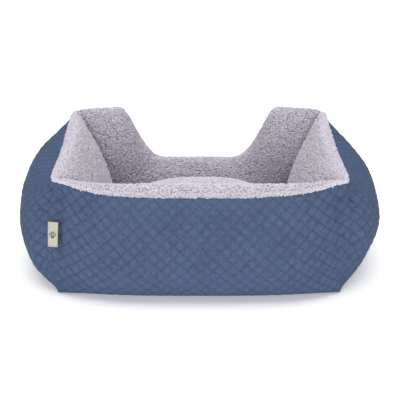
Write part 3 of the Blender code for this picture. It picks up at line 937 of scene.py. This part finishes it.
# ZIP
# A closed nylon coil zip on two woven tapes in the cushion's rear seam, with a metal slider and stops.
# The coil is two rows of moulded loops that hook into each other.
COIL_INSET = 0.001  # from the end of the coil to the middle of its last loop
TAPE_WAVE = 0.0004  # how far the sewn tapes ripple between their stitches
TAPE_THICKNESS = 0.0006


def coil_plastic():
    made, shader, place = new_material("zip_coil", 0.42)
    shade = place.noise(300.0)
    connect(shade.mixed((0.34, 0.32, 0.37), (0.46, 0.44, 0.50)), shader, "Base Color")
    connect(0.36 + 0.15 * shade, shader, "Roughness")
    return made


def coil_tree(material):
    """Moulded loops along a line, each set to the other side of the middle from the one before."""
    loop_sizes = {"Across": 0.0017, "Along": 0.00062, "Proud": 0.0009}
    tree, wires = new_tree("zip coil", Pitch=0.0013, Stagger=0.0003, **loop_sizes)
    start = wires["Geometry"]
    even = evenly_spaced(start, wires["Pitch"])
    turn = (start.node("GeometryNodeInputIndex", {}, {}) * math.pi).maths("COSINE")
    shift = start.node("ShaderNodeCombineXYZ", {}, {2: turn * wires["Stagger"]})
    points = start.node("GeometryNodeCurveToPoints", {"mode": "EVALUATED"}, {"Curve": even})
    placed = start.node("GeometryNodeSetPosition", {}, {"Geometry": points, "Offset": shift})
    loop = start.node("GeometryNodeMeshUVSphere", {}, {"Segments": 8, "Rings": 5, "Radius": 1.0})
    size = start.node("ShaderNodeCombineXYZ", {}, {0: wires["Along"], 1: wires["Proud"], 2: wires["Across"]})
    loops_there = {"Points": placed, "Instance": loop, "Scale": size}
    close_tree(start.node("GeometryNodeInstanceOnPoints", {}, loops_there), material)
    return tree


_, y, z = (coil_low + coil_high) / 2
coil_ends = [(coil_low[0] + COIL_INSET, y, z), (coil_high[0] - COIL_INSET, y, z)]
coil_line = plain_mesh("coil_line", coil_ends, edges=[(0, 1)])
coil = grown("zip_coil_loops", coil_line, coil_tree(coil_plastic()))
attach(coil, "cushion")
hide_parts("zip_coil")


def zip_cloth():
    made, shader, place = new_material("zip_tape", 0.8)
    across, _, up = place.split()
    ribs = 0.5 + 0.5 * (across * 5200).sine() * (up * 4200).sine()
    worn = place.noise(90.0, 3.0)
    connect((ribs * 0.6 + worn * 0.4).mixed((0.26, 0.24, 0.29), (0.50, 0.47, 0.55)), shader, "Base Color")
    raise_bumps(shader, ribs, 0.0003)
    return made


strips = []
for name in ("zip_tape_lower", "zip_tape_upper"):
    low, high = (np.array(corner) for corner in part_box(name))
    x, z = np.meshgrid(np.linspace(low[0], high[0], 160), np.linspace(low[2], high[2], 9))
    y = low[1] + TAPE_WAVE * (1 + np.sin(x * 210 + low[2] * 900)) / 2
    strips.append(np.stack([x, y, z], axis=-1))
strip_faces = grid_faces(*x.shape)
tapes = joined("zip_tapes", strips, np.concatenate([strip_faces, strip_faces + x.size]), zip_cloth())
tapes.data.shade_smooth()
woven = tapes.modifiers.new("Cloth", "SOLIDIFY")
woven.thickness = TAPE_THICKNESS
woven.offset = -1.0
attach(tapes, "cushion")
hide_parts("zip_tape_upper", "zip_tape_lower")


def zip_metal():
    made, shader, place = new_material("nickel", 0.3, Metallic=1.0)
    scuffs = place.noise(400.0, 3.0)
    connect(scuffs.mixed((0.52, 0.51, 0.49), (0.68, 0.67, 0.65)), shader, "Base Color")
    connect(0.22 + 0.25 * scuffs, shader, "Roughness")
    return made


nickel = zip_metal()
for name in ("zip_stop_left", "zip_stop_right", "zip_slider"):
    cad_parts[name].data.materials.clear()
    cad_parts[name].data.materials.append(nickel)

# STUDIO
# A plain pale floor, an even white surround, one wide soft light above, a weak one from each side and
# one from the front, low down.
scene = bpy.context.scene
scene.view_settings.view_transform = "Standard"
WORLD_LIGHT = 0.18  # the camera sees the surround as white, and this share of it lights the bed
FLOOR_GLOW = 0.32  # the floor is lit from within, which takes the edge off the bed's shadow
WHITE = (1.0, 1.0, 1.0, 1.0)
STUDIO_FLOOR = [(-6, -6, -0.0015), (6, -6, -0.0015), (6, 9, -0.0015), (-6, 9, -0.0015)]
LENS = 119.5
SENSOR = 36.0
CAMERA_DISTANCE = 2.65
CAMERA_RISE = math.radians(22)
TARGET = Vector((0, 0, 0.107))


def floor_paint():
    glow = {"Emission_Color": WHITE, "Emission_Strength": FLOOR_GLOW}
    made, shader, place = new_material("studio_floor", 0.9, **glow)
    connect(place.noise(3.0).mixed((0.955, 0.955, 0.955), (0.965, 0.965, 0.965)), shader, "Base Color")
    return made


floor = joined("studio_floor", STUDIO_FLOOR, [(0, 1, 2, 3)], floor_paint())

world = bpy.data.worlds.new("surround")
scene.world = world
world.use_nodes = True
surround = world.node_tree.nodes["Background"]
surround.inputs["Color"].default_value = WHITE
seen = Wire(world.node_tree).node("ShaderNodeLightPath", {}, {})
connect(seen * (1.0 - WORLD_LIGHT) + WORLD_LIGHT, surround, "Strength")


def soft_light(name, strength, spread, direction):
    """A far light as wide as this angle in degrees, shining along a direction."""
    lamp = bpy.data.lights.new(name, "SUN")
    lamp.energy = strength
    lamp.angle = math.radians(spread)
    made = set_down(name, lamp)
    made.rotation_euler = Vector(direction).to_track_quat("-Z", "Y").to_euler()


soft_light("overhead", 2.50, 60.0, (0.0, -0.10, -1.0))
soft_light("left_panel", 0.25, 60.0, (1.0, 0.1, -1.0))
soft_light("right_panel", 0.20, 60.0, (-1.0, 0.1, -1.0))
soft_light("front_fill", 1.50, 30.0, (0.03, 1.0, -0.10))

camera = set_down("camera", bpy.data.cameras.new("camera"))
camera.location = TARGET + CAMERA_DISTANCE * Vector((0, -math.cos(CAMERA_RISE), math.sin(CAMERA_RISE)))
camera.rotation_euler = (TARGET - camera.location).to_track_quat("-Z", "Y").to_euler()
camera.data.sensor_width = SENSOR
camera.data.lens = LENS
scene.camera = camera
